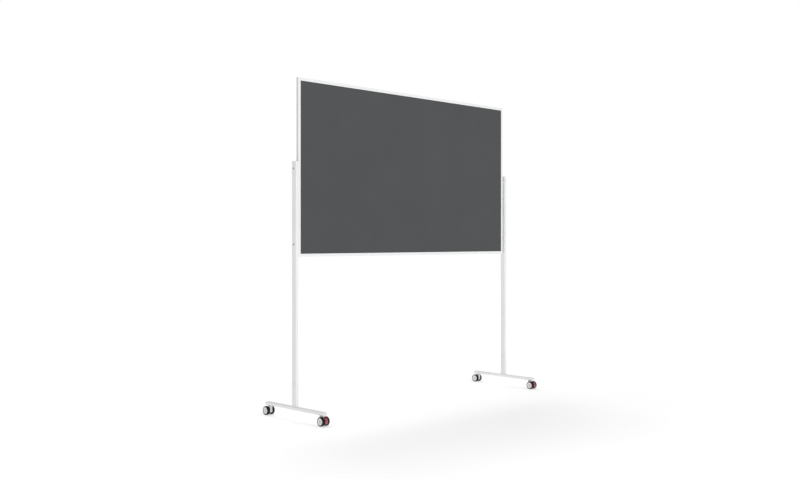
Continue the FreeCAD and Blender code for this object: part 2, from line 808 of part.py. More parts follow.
# Wheel hub, drawn with its axis along X, its inner face at x = 0 and its dished face disc outwards
def wheel_hub(name):
    body = new_body(name)
    bore = "(axle_radius + axle_clearance)"
    bore_end = HUB_DISC_BACK
    rim_inside = f"({HUB_RADIUS} - hub_rim_thickness)"
    lip = f"({HUB_RADIUS} - hub_lip)"
    pip_face = f"({HUB_FACE} - hub_pip_depth)"
    profile = new_sketch(body, "XY_Plane")
    draw_outline(
        profile,
        [
            ("0", bore),
            ("0", "hub_boss_radius"),
            (HUB_DISC_BACK, "hub_boss_radius"),
            (HUB_DISC_BACK, rim_inside),
            ("hub_set_in", rim_inside),
            ("hub_set_in", HUB_RADIUS),
            (HUB_FACE, HUB_RADIUS),
            (HUB_FACE, lip),
            (HUB_DISH, f"{lip} - hub_dish_slope"),
            (HUB_DISH, "hub_cap_radius + hub_dish_slope"),
            (HUB_FACE, "hub_cap_radius"),
            (HUB_FACE, "hub_pip_radius"),
            (pip_face, "hub_pip_radius"),
            (pip_face, "0"),
            (bore_end, "0"),
            (bore_end, bore),
        ],
    )
    turn_profile(body, "Revolution", profile, "H_Axis")

    # Ribs between boss and rim, behind the disc
    rib_outline = new_sketch(body, "XY_Plane")
    draw_rectangle(
        rib_outline,
        "hub_rib_set_in",
        f"{HUB_DISC_BACK} + hub_disc_thickness / 2",
        "(hub_boss_radius + axle_radius) / 2",
        f"{rim_inside} + hub_rim_thickness / 2",
    )
    rib = pad(body, rib_outline, "hub_rib_thickness", symmetric=True)
    ribs = body.newObject("PartDesign::PolarPattern", f"{name}_ribs")
    ribs.Originals = [rib]
    ribs.Axis = (rib_outline, ["H_Axis"])
    ribs.Angle = 360
    bind(ribs, "Occurrences", "hub_rib_count")
    body.Tip = ribs
    return body


# Tyre: a ring on the hub with rounded shoulders, drawn with its inner face at x = 0
def wheel_tyre(name):
    body = new_body(name)
    profile = new_sketch(body, "XY_Plane")
    outer_shoulder = rounded_corner("wheel_width", "wheel_radius", "tyre_shoulder")
    inner_shoulder = [(f"wheel_width - ({across})", up) for across, up in reversed(outer_shoulder)]
    draw_outline(
        profile,
        [("0", HUB_RADIUS), ("wheel_width", HUB_RADIUS), *outer_shoulder, *inner_shoulder],
    )
    turn_profile(body, "Revolution", profile, "H_Axis")
    return body


# Axle: a plain pin with chamfered ends, from the blind bore of one hub to that of the other
def castor_axle(name):
    body = new_body(name)
    half = f"({WHEEL_INNER_FACE} + {HUB_DISC_BACK} - axle_end_gap)"
    profile = new_sketch(body, "XY_Plane")
    draw_outline(
        profile,
        [
            (f"-{half}", "0"),
            (half, "0"),
            (half, "axle_radius - axle_chamfer"),
            (f"{half} - axle_chamfer", "axle_radius"),
            (f"axle_chamfer - {half}", "axle_radius"),
            (f"-{half}", "axle_radius - axle_chamfer"),
        ],
    )
    turn_profile(body, "Revolution", profile, "H_Axis")
    return body


# Brake pedal, drawn about the axle: a curved plate in front of both tyres, with grip ribs and a toe lip,
# on two arms that reach in between the wheels and turn on the axle
def brake_pedal(name):
    body = new_body(name)

    def add_sector(width, inside, outside, start, span):
        sector = new_sketch(body, "XY_Plane", turn=(X_AXIS, f"-({start})"))
        draw_rectangle(sector, f"-({width}) / 2", f"({width}) / 2", f"-({outside})", f"-({inside})")
        return turn_profile(body, "Revolution", sector, "H_Axis", span), sector

    add_sector(
        "pedal_width", PEDAL_INSIDE, PEDAL_OUTSIDE, "pedal_high_angle", "pedal_high_angle + pedal_low_angle"
    )
    add_sector(
        "pedal_width",
        f"{PEDAL_INSIDE} + pedal_thickness / 2",
        f"{PEDAL_OUTSIDE} + pedal_lip_height",
        "pedal_high_angle",
        "pedal_lip_angle",
    )
    rib, rib_sketch = add_sector(
        "pedal_width - 2 * pedal_thickness",
        f"{PEDAL_INSIDE} + pedal_thickness / 2",
        f"{PEDAL_OUTSIDE} + pedal_rib_height",
        "pedal_high_angle - 2 * pedal_rib_pitch_angle",
        "pedal_rib_angle",
    )
    ribs = body.newObject("PartDesign::PolarPattern", f"{name}_ribs")
    ribs.Originals = [rib]
    ribs.Axis = (rib_sketch, ["H_Axis"])
    bind(ribs, "Angle", "pedal_rib_pitch_angle * (pedal_rib_count - 1)")
    bind(ribs, "Occurrences", "pedal_rib_count")
    body.Tip = ribs

    for sign in (-1, 1):
        inner_face = f"{sign} * (brake_web_width / 2 + pedal_arm_gap)"
        arm = new_sketch(body, "YZ_Plane", inner_face, turn=(Z_AXIS, "-pedal_arm_angle"))
        half = "pedal_arm_width / 2"
        draw_rectangle(arm, f"-({PEDAL_INSIDE} + pedal_thickness / 2)", "0", f"-{half}", half)
        pad(body, arm, "pedal_arm_thickness", reverse=sign < 0)
        hub = new_sketch(body, "YZ_Plane", inner_face)
        draw_circle(hub, "0", "0", "pedal_hub_radius")
        pad(body, hub, "pedal_arm_thickness", reverse=sign < 0)
    hole = new_sketch(body, "YZ_Plane")
    draw_circle(hole, "0", "0", "axle_radius + axle_clearance")
    pocket(body, hole, symmetric=True)
    return body


# Castors: the front pair trails forwards and has the brakes, the rear pair is turned to trail backwards
stems = []
for end, end_sign in ENDS:
    turned = 0 if end == "front" else 180
    for side, sign in SIDES:
        spot = f"{end}_{side}"
        stem_x = f"{sign} * {UPRIGHT_X}"
        stem_y = f"{end_sign} * {STEM_Y}"
        axle_y = f"{end_sign} * ({STEM_Y} + castor_trail)"
        stems.append(place(castor_stem(f"castor_stem_{spot}"), stem_x, stem_y))
        housing = castor_body(f"castor_body_{spot}", end == "front")
        place(keep(housing, housing.Name), stem_x, stem_y, axis=Z_AXIS, angle=turned)
        axle = castor_axle(f"castor_axle_{spot}")
        place(keep(axle, axle.Name), stem_x, axle_y, AXLE_HEIGHT)
        for part_of_stand, outwards in (("outer", sign), ("inner", -sign)):
            wheel_x = f"{stem_x} + {outwards} * {WHEEL_INNER_FACE}"
            facing = 0 if outwards > 0 else 180
            for make, kind in ((wheel_hub, "hub"), (wheel_tyre, "tyre")):
                piece = make(f"wheel_{kind}_{spot}_{part_of_stand}")
                place(keep(piece, piece.Name), wheel_x, axle_y, AXLE_HEIGHT, Z_AXIS, facing)
        if end == "front":
            pedal = brake_pedal(f"brake_pedal_{spot}")
            place(keep(pedal, pedal.Name), stem_x, axle_y, AXLE_HEIGHT)
group("castor_stems", stems)

document.recompute()

# Check every object and sub-part before anything is written
faults = [item.Label for item in document.Objects if "Invalid" in item.State or "Error" in item.State]
for piece in kept:
    if piece.Shape.isNull() or not piece.Shape.isValid() or not piece.Shape.Solids:
        faults.append(piece.Label)
if faults:
    raise RuntimeError(f"could not be built: {faults}")

os.makedirs("parts", exist_ok=True)
for piece in kept:
    piece.Shape.exportStep(f"parts/{piece.Label}.step")
print(len(kept), "sub-parts written")
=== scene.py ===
import math

import bmesh
import bpy
from mathutils import Matrix, Vector, noise


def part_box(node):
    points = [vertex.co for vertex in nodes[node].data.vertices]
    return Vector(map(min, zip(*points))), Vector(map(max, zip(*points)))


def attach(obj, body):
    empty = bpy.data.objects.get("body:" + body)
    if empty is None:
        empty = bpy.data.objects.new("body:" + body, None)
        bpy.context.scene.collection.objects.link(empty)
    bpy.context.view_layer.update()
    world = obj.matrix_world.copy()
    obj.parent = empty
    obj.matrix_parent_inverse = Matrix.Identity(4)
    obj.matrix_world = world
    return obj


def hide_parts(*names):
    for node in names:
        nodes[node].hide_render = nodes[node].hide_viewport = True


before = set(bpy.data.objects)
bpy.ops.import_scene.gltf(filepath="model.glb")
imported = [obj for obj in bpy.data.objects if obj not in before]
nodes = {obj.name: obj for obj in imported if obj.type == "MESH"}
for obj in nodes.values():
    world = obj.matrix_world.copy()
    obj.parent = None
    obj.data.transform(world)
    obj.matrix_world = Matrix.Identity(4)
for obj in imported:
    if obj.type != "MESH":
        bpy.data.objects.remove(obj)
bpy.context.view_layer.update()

# Camera: level, a metre above the floor, well to the left of the board and in front of it, looking at its
# middle. Its place and focal length come from the vanishing points of the board's and the feet's edges in
# the photograph, which is 800 pixels wide.
PHOTO_WIDTH = 800
FOCAL_PIXELS = 956.4
SENSOR_WIDTH = 36.0
CAMERA_PLACE = Vector((-4.2596, -4.1852, 1.0022))
CAMERA_TILT = math.radians(90)
CAMERA_TURN = math.radians(44.866)

camera_data = bpy.data.cameras.new("camera")
camera_data.sensor_width = SENSOR_WIDTH
camera_data.lens = FOCAL_PIXELS * SENSOR_WIDTH / PHOTO_WIDTH
camera = bpy.data.objects.new("camera", camera_data)
camera.location = CAMERA_PLACE
camera.rotation_euler = (CAMERA_TILT, 0, -CAMERA_TURN)
bpy.context.collection.objects.link(camera)
bpy.context.scene.camera = camera


# Board frame: four mitred lengths of extruded aluminium, powder-coated a clean white. The coat has the
# faint orange peel of baked powder, and its sides are painted greyer, as shade. The rails' sawn ends are
# eased, so each mitre shows as a hairline.
RAIL_EDGE_EASING = 0.0002
MERGE_WITHIN = 1e-6
FLAT_WITHIN = math.radians(0.4)
SHARP_ABOVE = math.radians(28)
COAT_PEEL_SCALE = 900.0
COAT_CLOUD_SCALE = 7.0
COAT_TONE_RANGE = (0.35, 0.65)
COAT_GLOSSIER = 0.04
COAT_DULLER = 0.05
ACROSS_TO_ALONG = (0.2, 0.7)

# Most values of a noise lie in this range
NOISE_RANGE = (0.3, 0.7)

# A mix node keeps the two colours and the result of a colour mix in these sockets
MIX_FIRST = 6
MIX_SECOND = 7
MIX_RESULT = 2


def new_group(name, inputs, outputs):
    """A shader node group with named value inputs and outputs."""
    group = bpy.data.node_groups.new(name, "ShaderNodeTree")
    for label, kind, default in inputs:
        socket = group.interface.new_socket(label, in_out="INPUT", socket_type=kind)
        socket.default_value = default
    for label, kind in outputs:
        group.interface.new_socket(label, in_out="OUTPUT", socket_type=kind)
    entry = group.nodes.new("NodeGroupInput")
    leave = group.nodes.new("NodeGroupOutput")
    return group, entry, leave


def add_node(tree, kind, **settings):
    node = tree.nodes.new(kind)
    for name, value in settings.items():
        setattr(node, name, value)
    return node


def object_place(tree):
    return add_node(tree, "ShaderNodeTexCoord").outputs["Object"]


def math_node(tree, operation, first, second=None):
    node = add_node(tree, "ShaderNodeMath", operation=operation)
    for socket, value in zip(node.inputs, (first, second)):
        if value is None:
            continue
        if isinstance(value, (int, float)):
            socket.default_value = value
        else:
            tree.links.new(value, socket)
    return node.outputs["Value"]


def noise_node(tree, place, scale, detail=2.0, roughness=0.5):
    node = add_node(tree, "ShaderNodeTexNoise")
    tree.links.new(place, node.inputs["Vector"])
    if isinstance(scale, (int, float)):
        node.inputs["Scale"].default_value = scale
    else:
        tree.links.new(scale, node.inputs["Scale"])
    node.inputs["Detail"].default_value = detail
    node.inputs["Roughness"].default_value = roughness
    return node.outputs["Fac"]


def map_range(tree, value, source, target=(0.0, 1.0)):
    """A value carried from one range over to another, and held at its ends."""
    node = add_node(tree, "ShaderNodeMapRange")
    tree.links.new(value, node.inputs["Value"])
    for label, number in zip(("From Min", "From Max", "To Min", "To Max"), (*source, *target)):
        node.inputs[label].default_value = number
    return node.outputs["Result"]


def make_peel_group():
    """Orange peel of a baked coat: a height, and a slow cloud that shifts tone and gloss a little."""
    group, entry, leave = new_group(
        "baked_coat_peel",
        inputs=[
            ("Peel Scale", "NodeSocketFloat", COAT_PEEL_SCALE),
            ("Cloud Scale", "NodeSocketFloat", COAT_CLOUD_SCALE),
        ],
        outputs=[("Height", "NodeSocketFloat"), ("Cloud", "NodeSocketFloat")],
    )
    place = object_place(group)
    peel = noise_node(group, place, entry.outputs["Peel Scale"], detail=1.5, roughness=0.45)
    cloud = noise_node(group, place, entry.outputs["Cloud Scale"], detail=3.0, roughness=0.55)
    group.links.new(peel, leave.inputs["Height"])
    group.links.new(cloud, leave.inputs["Cloud"])
    return group


PEEL_GROUP = make_peel_group()


def new_material(name, roughness, specular=0.5, **constants):
    """A material with its shader's constants set on the shader's own sockets."""
    material = bpy.data.materials.new(name)
    material.use_nodes = True
    shader = material.node_tree.nodes["Principled BSDF"]
    shader.inputs["Roughness"].default_value = roughness
    shader.inputs["Specular IOR Level"].default_value = specular
    for label, value in constants.items():
        shader.inputs[label.replace("_", " ")].default_value = value
    return material, material.node_tree, shader


def mix_colour(tree, factor, first, second):
    node = add_node(tree, "ShaderNodeMix", data_type="RGBA")
    tree.links.new(factor, node.inputs["Factor"])
    for socket, colour in ((node.inputs[MIX_FIRST], first), (node.inputs[MIX_SECOND], second)):
        if isinstance(colour, tuple):
            socket.default_value = (*colour, 1.0)
        else:
            tree.links.new(colour, socket)
    return node.outputs[MIX_RESULT]


def set_bump(tree, shader, height, distance):
    bump = add_node(tree, "ShaderNodeBump")
    bump.inputs["Distance"].default_value = distance
    bump.inputs["Strength"].default_value = 1.0
    tree.links.new(height, bump.inputs["Height"])
    tree.links.new(bump.outputs["Normal"], shader.inputs["Normal"])


def faces_along(tree, axis):
    """1 on faces that look along an axis, 0 on those that look across it."""
    normal = add_node(tree, "ShaderNodeTexCoord").outputs["Normal"]
    split = add_node(tree, "ShaderNodeSeparateXYZ")
    tree.links.new(normal, split.inputs["Vector"])
    return map_range(tree, math_node(tree, "ABSOLUTE", split.outputs[axis]), ACROSS_TO_ALONG)


def coated_material(name, light, dark, roughness, peel_scale, peel_depth, unshaded_axis=None, painted_shade_tone=None):
    """Baked powder coat. With an unshaded axis, faces that look across it take a painted shade tone."""
    material, tree, shader = new_material(name, roughness)
    peel = add_node(tree, "ShaderNodeGroup", node_tree=PEEL_GROUP)
    peel.inputs["Peel Scale"].default_value = peel_scale
    cloud = peel.outputs["Cloud"]
    colour = mix_colour(tree, map_range(tree, cloud, COAT_TONE_RANGE), light, dark)
    if unshaded_axis:
        # Painted shade: faces that look across the unshaded axis are mixed toward the darker shade tone.
        colour = mix_colour(tree, faces_along(tree, unshaded_axis), painted_shade_tone, colour)
    tree.links.new(colour, shader.inputs["Base Color"])
    gloss_range = (roughness - COAT_GLOSSIER, roughness + COAT_DULLER)
    tree.links.new(map_range(tree, cloud, NOISE_RANGE, gloss_range), shader.inputs["Roughness"])
    set_bump(tree, shader, peel.outputs["Height"], peel_depth)
    return material


def finish_mesh(shape, name, material, smooth_angle=30):
    """Turn a bmesh into a linked object at the origin, smooth but for edges sharper than an angle."""
    mesh = bpy.data.meshes.new(name)
    shape.to_mesh(mesh)
    shape.free()
    mesh.materials.append(material)
    mesh.polygons.foreach_set("material_index", [0] * len(mesh.polygons))
    mesh.polygons.foreach_set("use_smooth", [True] * len(mesh.polygons))
    mesh.set_sharp_from_angle(angle=math.radians(smooth_angle))
    piece = bpy.data.objects.new(name, mesh)
    bpy.context.collection.objects.link(piece)
    return piece


def stand_for(piece, node, body):
    """Let a piece take a CAD node's place on its body, and hide the node."""
    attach(piece, body)
    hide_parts(node)


def eased_copy(node, name, easing, material, steps=2):
    """A merged copy of a CAD node, its sharp edges rounded over and its flats kept flat."""
    shape = bmesh.new()
    shape.from_mesh(nodes[node].data)
    bmesh.ops.remove_doubles(shape, verts=shape.verts, dist=MERGE_WITHIN)
    bmesh.ops.dissolve_limit(
        shape, angle_limit=FLAT_WITHIN, use_dissolve_boundaries=False, verts=shape.verts, edges=shape.edges
    )
    sharp = [edge for edge in shape.edges if edge.is_manifold and edge.calc_face_angle() > SHARP_ABOVE]
    bmesh.ops.bevel(
        shape,
        geom=sharp,
        offset=easing,
        offset_type="OFFSET",
        segments=steps,
        profile=0.5,
        affect="EDGES",
        clamp_overlap=False,
        material=-1,
    )
    piece = finish_mesh(shape, name, material, smooth_angle=52)
    flats = piece.modifiers.new("flats", "WEIGHTED_NORMAL")
    flats.keep_sharp = True
    return piece


RAIL_WHITE = coated_material(
    "white_coated_rail",
    light=(0.858, 0.86, 0.862),
    dark=(0.83, 0.832, 0.834),
    roughness=0.42,
    peel_scale=1100.0,
    peel_depth=0.00003,
    # Painted shade: the rails' sides, which look across Y, take the darker tone.
    unshaded_axis="Y",
    painted_shade_tone=(0.7, 0.702, 0.705),
)
for side in ("top", "bottom", "left", "right"):
    rail = eased_copy(f"frame_{side}", f"rail_{side}", RAIL_EDGE_EASING, RAIL_WHITE)
    stand_for(rail, f"frame_{side}", "stand")


# Corner keys and threaded blocks: cast zinc, grey and slightly mottled. The keys are driven into the
# rails' chambers and hold the mitres shut, and the blocks lie there behind the board's screws.
METAL_GRAIN_RANGE = (0.2, 0.8)
METAL_GRAIN_DEPTH = 0.00002
METAL_GLOSSIER = 0.08
METAL_DULLER = 0.1


def metal_material(name, light, dark, roughness, grain_scale, metallic=1.0):
    material, tree, shader = new_material(name, roughness, Metallic=metallic)
    grain = noise_node(tree, object_place(tree), grain_scale, detail=4.0, roughness=0.6)
    tree.links.new(mix_colour(tree, grain, light, dark), shader.inputs["Base Color"])
    gloss_range = (roughness - METAL_GLOSSIER, roughness + METAL_DULLER)
    tree.links.new(map_range(tree, grain, METAL_GRAIN_RANGE, gloss_range), shader.inputs["Roughness"])
    set_bump(tree, shader, grain, METAL_GRAIN_DEPTH)
    return material


def dress(names, material):
    """Give CAD nodes a finish in every one of their material slots."""
    for name in names:
        mesh = nodes[name].data
        mesh.materials.clear()
        mesh.materials.append(material)
        for face in mesh.polygons:
            face.material_index = 0


CAST_ZINC = metal_material(
    "cast_zinc", light=(0.52, 0.53, 0.55), dark=(0.36, 0.37, 0.39), roughness=0.5, grain_scale=700.0
)
dress(["frame_corner_keys", "frame_nut_blocks"], CAST_ZINC)


# Core: a board pressed from wood fibre, which takes the pins and keeps the felts flat. It is slid into
# the rails' channels before the last corner is closed, and nothing of it shows on the finished board.
FIBRE_LIGHT = (0.42, 0.33, 0.22)
FIBRE_DARK = (0.24, 0.18, 0.11)
FIBRE_SCALE = 500.0
FIBRE_DEPTH = 0.0002


def fibre_material():
    material, tree, shader = new_material("pressed_fibre", roughness=0.9, specular=0.2)
    fibres = noise_node(tree, object_place(tree), FIBRE_SCALE, detail=6.0, roughness=0.7)
    tree.links.new(mix_colour(tree, fibres, FIBRE_LIGHT, FIBRE_DARK), shader.inputs["Base Color"])
    set_bump(tree, shader, fibres, FIBRE_DEPTH)
    return material


dress(["board_core"], fibre_material())


# Felts: one sheet of dark grey needled felt glued on each face of the core, its edges tucked under the
# frame's lips. The fibres lie every way, with a few lighter ones among them.
FELT_CELL = 0.02
FELT_SINK = 0.0005
FELT_SINK_WIDTH = 0.006
FELT_SINK_RING_SHARES = (0.3, 1.0)
FELT_WAVE = 0.00012
FELT_SLOW_WAVES = 9
FELT_QUICK_WAVES = 31
FELT_SLOW_SHARE = 0.6
FELT_DARK = (0.0642, 0.0676, 0.0697)
FELT_LIGHT = (0.095, 0.1, 0.1031)
FELT_WORN = (0.0703, 0.074, 0.0763)
FELT_LINT = (0.145, 0.152, 0.157)
FELT_TANGLE_SCALE = 1500.0
FELT_CLUMP_SCALE = 260.0
FELT_CLOUD_SCALE = 3.0
FELT_STRAND_SCALE = 1100.0
FELT_STRAND_WIDTH = 0.09
FELT_LINT_WHERE = (0.52, 0.7)
FELT_MOST_LINT = 0.4
FELT_MOST_WEAR = 0.6
FELT_FINE_SHARE = 0.5
FELT_COARSE_SHARE = 0.8
FELT_PILE_DEPTH = 0.00035


def felt_material():
    material, tree, shader = new_material(
        "needled_felt", roughness=0.96, specular=0.12, Sheen_Weight=0.03, Sheen_Roughness=0.6
    )
    place = object_place(tree)
    tangle = noise_node(tree, place, FELT_TANGLE_SCALE, detail=5.0, roughness=0.75)
    clumps = noise_node(tree, place, FELT_CLUMP_SCALE, detail=4.0, roughness=0.65)
    cloud = noise_node(tree, place, FELT_CLOUD_SCALE, detail=3.0, roughness=0.5)
    strands = add_node(tree, "ShaderNodeTexVoronoi", feature="DISTANCE_TO_EDGE")
    strands.inputs["Scale"].default_value = FELT_STRAND_SCALE
    strands.inputs["Randomness"].default_value = 1.0
    tree.links.new(place, strands.inputs["Vector"])
    lint = map_range(tree, strands.outputs["Distance"], (0.0, FELT_STRAND_WIDTH), (1.0, 0.0))

    base = mix_colour(tree, map_range(tree, clumps, NOISE_RANGE), FELT_DARK, FELT_LIGHT)
    worn = map_range(tree, cloud, NOISE_RANGE, (0.0, FELT_MOST_WEAR))
    base = mix_colour(tree, worn, base, FELT_WORN)
    lint_here = map_range(tree, tangle, FELT_LINT_WHERE, (0.0, FELT_MOST_LINT))
    fleck = math_node(tree, "MULTIPLY", lint, lint_here)
    tree.links.new(mix_colour(tree, fleck, base, FELT_LINT), shader.inputs["Base Color"])
    fine = math_node(tree, "MULTIPLY", tangle, FELT_FINE_SHARE)
    coarse = math_node(tree, "MULTIPLY", clumps, FELT_COARSE_SHARE)
    set_bump(tree, shader, math_node(tree, "ADD", fine, coarse), FELT_PILE_DEPTH)
    return material


def felt_sheet(name, node, material):
    """A felt with rounded, slightly sunk edges, its pile gently uneven, in the place of its CAD node."""
    low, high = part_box(node)
    faces_front = low.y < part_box("board_core")[0].y
    outer_y, inner_y, inwards = (low.y, high.y, 1) if faces_front else (high.y, low.y, -1)
    width, height = high.x - low.x, high.z - low.z

    sheet = bmesh.new()
    columns, rows = round(width / FELT_CELL), round(height / FELT_CELL)
    bmesh.ops.create_grid(sheet, x_segments=columns, y_segments=rows, size=0.5)
    bmesh.ops.scale(sheet, vec=(width, height, 1), verts=sheet.verts)
    bmesh.ops.rotate(sheet, matrix=Matrix.Rotation(math.radians(90), 3, "X"), verts=sheet.verts)
    bmesh.ops.translate(sheet, vec=((low.x + high.x) / 2, outer_y, (low.z + high.z) / 2), verts=sheet.verts)
    for edge_place, axis, inward in ((low.x, 0, 1), (high.x, 0, -1), (low.z, 2, 1), (high.z, 2, -1)):
        for share in FELT_SINK_RING_SHARES:
            point, normal = Vector(), Vector()
            point[axis] = edge_place + inward * FELT_SINK_WIDTH * share
            normal[axis] = 1
            geometry = sheet.verts[:] + sheet.edges[:] + sheet.faces[:]
            bmesh.ops.bisect_plane(sheet, geom=geometry, plane_co=point, plane_no=normal)
    for vertex in sheet.verts:
        place = vertex.co
        to_edge = min(place.x - low.x, high.x - place.x, place.z - low.z, high.z - place.z)
        sunk = FELT_SINK * max(0.0, 1 - to_edge / FELT_SINK_WIDTH) ** 2
        slow = noise.noise(place * FELT_SLOW_WAVES) * FELT_SLOW_SHARE
        quick = noise.noise(place * FELT_QUICK_WAVES) * (1 - FELT_SLOW_SHARE)
        place.y += inwards * (sunk + FELT_WAVE + FELT_WAVE * (slow + quick))
    border = [edge for edge in sheet.edges if edge.is_boundary]
    drawn = bmesh.ops.extrude_edge_only(sheet, edges=border)["geom"]
    for vertex in {item for item in drawn if isinstance(item, bmesh.types.BMVert)}:
        vertex.co.y = inner_y
    rim = [edge for edge in sheet.edges if edge.is_boundary]
    bmesh.ops.holes_fill(sheet, edges=rim, sides=0)
    bmesh.ops.recalc_face_normals(sheet, faces=sheet.faces)
    return finish_mesh(sheet, name, material, smooth_angle=40), (width, height)


FELT = felt_material()
for side in ("front", "back"):
    felt, flat_size = felt_sheet(f"felt_sheet_{side}", f"felt_{side}", FELT)
    stand_for(felt, f"felt_{side}", "stand")


# Uprights, sockets and feet: rectangular steel tubes in the same white as the frame, but with the
# slightly coarser skin that powder leaves on steel. The feet's coat is painted lighter, as floor bounce
# light, and painted greyer, as shade, on all faces but its sides. The sockets are welded on the feet and
# hidden inside the uprights.
TUBE_EDGE_EASING = 0.0003
TUBE_ROUGHNESS = 0.4
TUBE_PEEL_SCALE = 800.0
TUBE_PEEL_DEPTH = 0.00004
TUBE_WHITE = coated_material(
    "white_coated_tube",
    light=(0.865, 0.867, 0.87),
    dark=(0.832, 0.835, 0.838),
    roughness=TUBE_ROUGHNESS,
    peel_scale=TUBE_PEEL_SCALE,
    peel_depth=TUBE_PEEL_DEPTH,
)
# Painted light and shade: lighter than the uprights' coat for bounce light from the floor, and greyer on
# all but the sides.
FOOT_WHITE_PAINTED_LIGHT = coated_material(
    "white_coated_foot_painted_light",
    light=(0.925, 0.925, 0.926),
    dark=(0.895, 0.895, 0.896),
    roughness=TUBE_ROUGHNESS,
    peel_scale=TUBE_PEEL_SCALE,
    peel_depth=TUBE_PEEL_DEPTH,
    unshaded_axis="X",
    painted_shade_tone=(0.83, 0.83, 0.83),
)
for side in ("left", "right"):
    for kind, coat in (("upright", TUBE_WHITE), ("foot", FOOT_WHITE_PAINTED_LIGHT)):
        tube = eased_copy(f"{kind}_{side}", f"{kind}_tube_{side}", TUBE_EDGE_EASING, coat)
        stand_for(tube, f"{kind}_{side}", "stand")
    dress([f"foot_socket_{side}"], TUBE_WHITE)


# Tube caps and spacers: moulded white plastic with a fine eroded texture. The caps are pushed into the
# tubes' open ends, and the screws clamp the spacers between the uprights and the frame.
CAP_EDGE_EASING = 0.0003
MOULD_CLOUD_SCALE = 60.0
MOULD_GLOSSIER = 0.05
MOULD_DULLER = 0.08


def moulded_material(name, light, dark, roughness, grain_scale, grain_depth, specular=0.45):
    """Moulded plastic: a fine grain from the mould, and a cloud that shifts its tone a little."""
    material, tree, shader = new_material(name, roughness, specular)
    place = object_place(tree)
    grain = noise_node(tree, place, grain_scale, detail=2.0, roughness=0.6)
    cloud = noise_node(tree, place, MOULD_CLOUD_SCALE, detail=3.0, roughness=0.5)
    colour = mix_colour(tree, map_range(tree, cloud, NOISE_RANGE), light, dark)
    tree.links.new(colour, shader.inputs["Base Color"])
    gloss_range = (roughness - MOULD_GLOSSIER, roughness + MOULD_DULLER)
    tree.links.new(map_range(tree, grain, NOISE_RANGE, gloss_range), shader.inputs["Roughness"])
    set_bump(tree, shader, grain, grain_depth)
    return material


CAP_WHITE = moulded_material(
    "white_cap",
    light=(0.8, 0.802, 0.805),
    dark=(0.77, 0.772, 0.775),
    roughness=0.5,
    grain_scale=2600.0,
    grain_depth=0.00003,
)
caps = [f"foot_cap_{end}_{side}" for end in ("front", "rear") for side in ("left", "right")]
caps += ["upright_cap_left", "upright_cap_right", "board_spacers"]
for node in caps:
    cap = eased_copy(node, f"{node}_moulding", CAP_EDGE_EASING, CAP_WHITE)
    stand_for(cap, node, "stand")


# Screws that hold the board: turned steel with a rounded head, zinc-plated a mid grey, driven through
# upright and spacer into the frame. The bolts and cap nuts that clamp the uprights on their sockets are
# plated brighter, and hardly show against the white tubes.
SCREW_EDGE_EASING = 0.0004
TURNED_GRAIN_SCALE = 1500.0
DARK_STEEL = metal_material(
    "dark_plated_steel",
    light=(0.36, 0.365, 0.375),
    dark=(0.27, 0.275, 0.285),
    roughness=0.36,
    grain_scale=TURNED_GRAIN_SCALE,
)
BRIGHT_STEEL = metal_material(
    "bright_plated_steel",
    light=(0.8, 0.805, 0.815),
    dark=(0.7, 0.705, 0.715),
    roughness=0.4,
    grain_scale=TURNED_GRAIN_SCALE,
    metallic=0.7,
)
FASTENER_STEELS = {"board_screws": DARK_STEEL, "socket_bolts": BRIGHT_STEEL, "socket_nuts": BRIGHT_STEEL}
for node, steel in FASTENER_STEELS.items():
    fastener = eased_copy(node, f"{node}_turned", SCREW_EDGE_EASING, steel, steps=3)
    stand_for(fastener, node, "stand")


# Castor stems: turned steel pins, screwed into threaded inserts inside the feet, on which the castors
# swivel. Stems, inserts and wheel axles are zinc-plated alike.
STEM_EDGE_EASING = 0.00025
PLATED_STEEL = metal_material(
    "plated_steel",
    light=(0.62, 0.63, 0.65),
    dark=(0.48, 0.49, 0.52),
    roughness=0.32,
    grain_scale=TURNED_GRAIN_SCALE,
)
stems = eased_copy("castor_stems", "castor_stems_turned", STEM_EDGE_EASING, PLATED_STEEL)
stand_for(stems, "castor_stems", "stand")
dress(["castor_inserts"], PLATED_STEEL)


# Castors: a body moulded in light grey plastic stands between two wheels. Each wheel is a grey hub with a
# darker cap over the axle's end, and a soft black tyre on it. The front castors have a red brake pedal.
BODY_EDGE_EASING = 0.0004
HUB_EDGE_EASING = 0.00025
PEDAL_EDGE_EASING = 0.0003
AXLE_Y = 0.242
AXLE_Z = 0.025
HUB_RADIUS = 0.0195
HUB_CAP_RADIUS = 0.0078
HUB_CAP_BLUR = 0.0002
HUB_CAP_GREY = (0.63, 0.635, 0.633)
SHOULDER_RADIUS = 0.0026
SHOULDER_STEPS = 7
TREAD_FALL = 0.00035
MOULD_LINE_WIDTH = 0.0003
MOULD_LINE_HEIGHT = 0.00012
TYRE_STEPS = 88
DUST_RADII = (0.0235, 0.025)
DUST_WHERE = (0.5, 0.75)
DUST_MOST = 0.35
DUST_SCALE = 900.0
DUST_GREY = (0.06, 0.058, 0.055)

CASTOR_GREY = moulded_material(
    "castor_grey",
    light=(0.68, 0.682, 0.68),
    dark=(0.63, 0.632, 0.63),
    roughness=0.45,
    grain_scale=2200.0,
    grain_depth=0.00004,
)
PEDAL_RED = moulded_material(
    "pedal_red",
    light=(0.31, 0.042, 0.057),
    dark=(0.27, 0.035, 0.048),
    roughness=0.16,
    grain_scale=2400.0,
    grain_depth=0.00001,
    specular=1.0,
)


def from_axle(tree):
    """Distance of a point from its wheel's axle, front or rear."""
    split = add_node(tree, "ShaderNodeSeparateXYZ")
    tree.links.new(object_place(tree), split.inputs["Vector"])
    along = math_node(tree, "SUBTRACT", math_node(tree, "ABSOLUTE", split.outputs["Y"]), AXLE_Y)
    up = math_node(tree, "SUBTRACT", split.outputs["Z"], AXLE_Z)
    squares = [math_node(tree, "MULTIPLY", side, side) for side in (along, up)]
    return math_node(tree, "SQRT", math_node(tree, "ADD", *squares))


